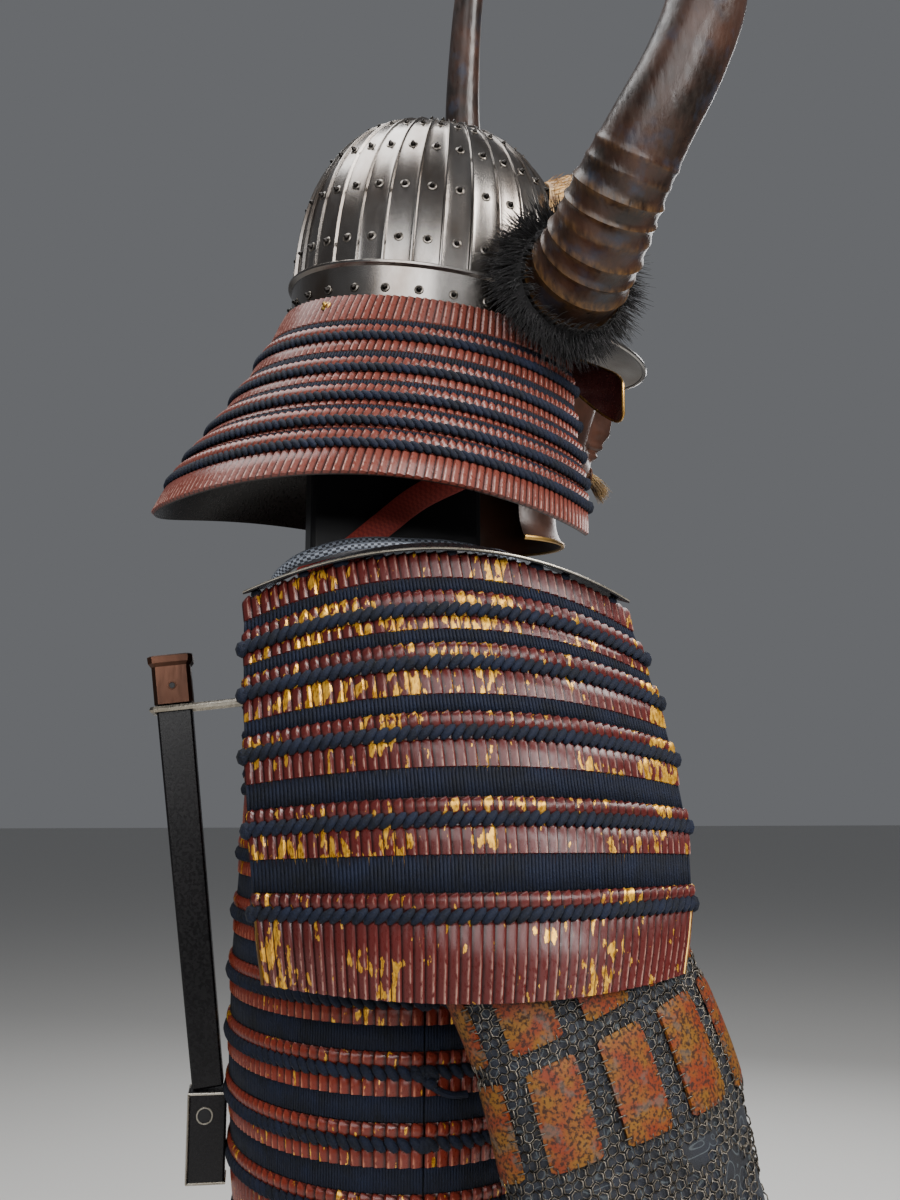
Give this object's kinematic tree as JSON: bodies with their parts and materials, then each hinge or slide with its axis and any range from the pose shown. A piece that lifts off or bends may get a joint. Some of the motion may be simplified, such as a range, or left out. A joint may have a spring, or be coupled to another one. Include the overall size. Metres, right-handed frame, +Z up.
{
  "type": "samurai armour on a display stand",
  "caption": "Lacquered laced armour with horned ribbed helmet, half mask, shoulder guards and mail sleeves, resting upright on a plain limbless stand.",
  "frame": {"origin": "on the floor, at the centre of the underside of the stand's base board", "axes": "+Z up; the armour faces -Y, so the wearer's right hand is at -X"},
  "size_m": [0.6285, 0.53, 1.9583],
  "materials": {
    "polished_steel": "polished",
    "red_lacquer": "worn gloss lacquer",
    "black_lacquer": "gloss lacquer",
    "horn_bronze": "polished horn",
    "black_fur": "fur",
    "tan_fur": "fur",
    "russet_iron": "russet lacquer",
    "tan_hair": "stiff hair",
    "red_cord": "woven braid",
    "mail_cloth": "mail over woven cloth",
    "copper_cap": "patinated copper",
    "bracket_steel": "satin",
    "black_leather": "satin",
    "stand_black": "satin"
  },
  "bodies": {
    "root": {"banner_tube": "black_lacquer", "chin_cord": "red_cord", "chin_tuft": "tan_hair", "cuirass_back": "red_lacquer", "cuirass_front": "red_lacquer", "cuirass_upper_back": "red_lacquer", "cuirass_upper_front": "red_lacquer", "fur_brow": "tan_fur", "fur_collar_left": "black_fur", "fur_collar_right": "black_fur", "hand_plate_left": "red_lacquer", "hand_plate_right": "red_lacquer", "helmet_bowl": "polished_steel", "helmet_visor": "polished_steel", "helmet_waist_band": "polished_steel", "horn_left": "horn_bronze", "horn_right": "horn_bronze", "mask": "russet_iron", "neck_guard_lame_1": "red_lacquer", "neck_guard_lame_2": "red_lacquer", "neck_guard_lame_3": "red_lacquer", "neck_guard_lame_4": "red_lacquer", "neck_guard_lame_5": "red_lacquer", "neck_guard_plate": "red_lacquer", "shoulder_strap_left": "black_leather", "shoulder_strap_right": "black_leather", "sleeve_left": "mail_cloth", "sleeve_right": "mail_cloth", "sode_left_lame_1": "red_lacquer", "sode_left_lame_2": "red_lacquer", "sode_left_lame_3": "red_lacquer", "sode_left_lame_4": "red_lacquer", "sode_left_lame_5": "red_lacquer", "sode_left_lame_6": "red_lacquer", "sode_left_top_plate": "black_lacquer", "sode_right_lame_1": "red_lacquer", "sode_right_lame_2": "red_lacquer", "sode_right_lame_3": "red_lacquer", "sode_right_lame_4": "red_lacquer", "sode_right_lame_5": "red_lacquer", "sode_right_lame_6": "red_lacquer", "sode_right_top_plate": "black_lacquer", "stand_base": "stand_black", "stand_head_block": "stand_black", "stand_post": "stand_black", "stand_yoke_left": "stand_black", "stand_yoke_right": "stand_black", "tasset_1": "red_lacquer", "tasset_2": "red_lacquer", "tasset_3": "red_lacquer", "tasset_4": "red_lacquer", "tasset_5": "red_lacquer", "tasset_6": "red_lacquer", "tasset_7": "red_lacquer", "throat_guard": "russet_iron", "tube_bracket": "bracket_steel", "tube_cap": "copper_cap", "tube_socket": "black_lacquer", "turn_back_left": "black_lacquer", "turn_back_right": "black_lacquer"}
  },
  "joints": []
}
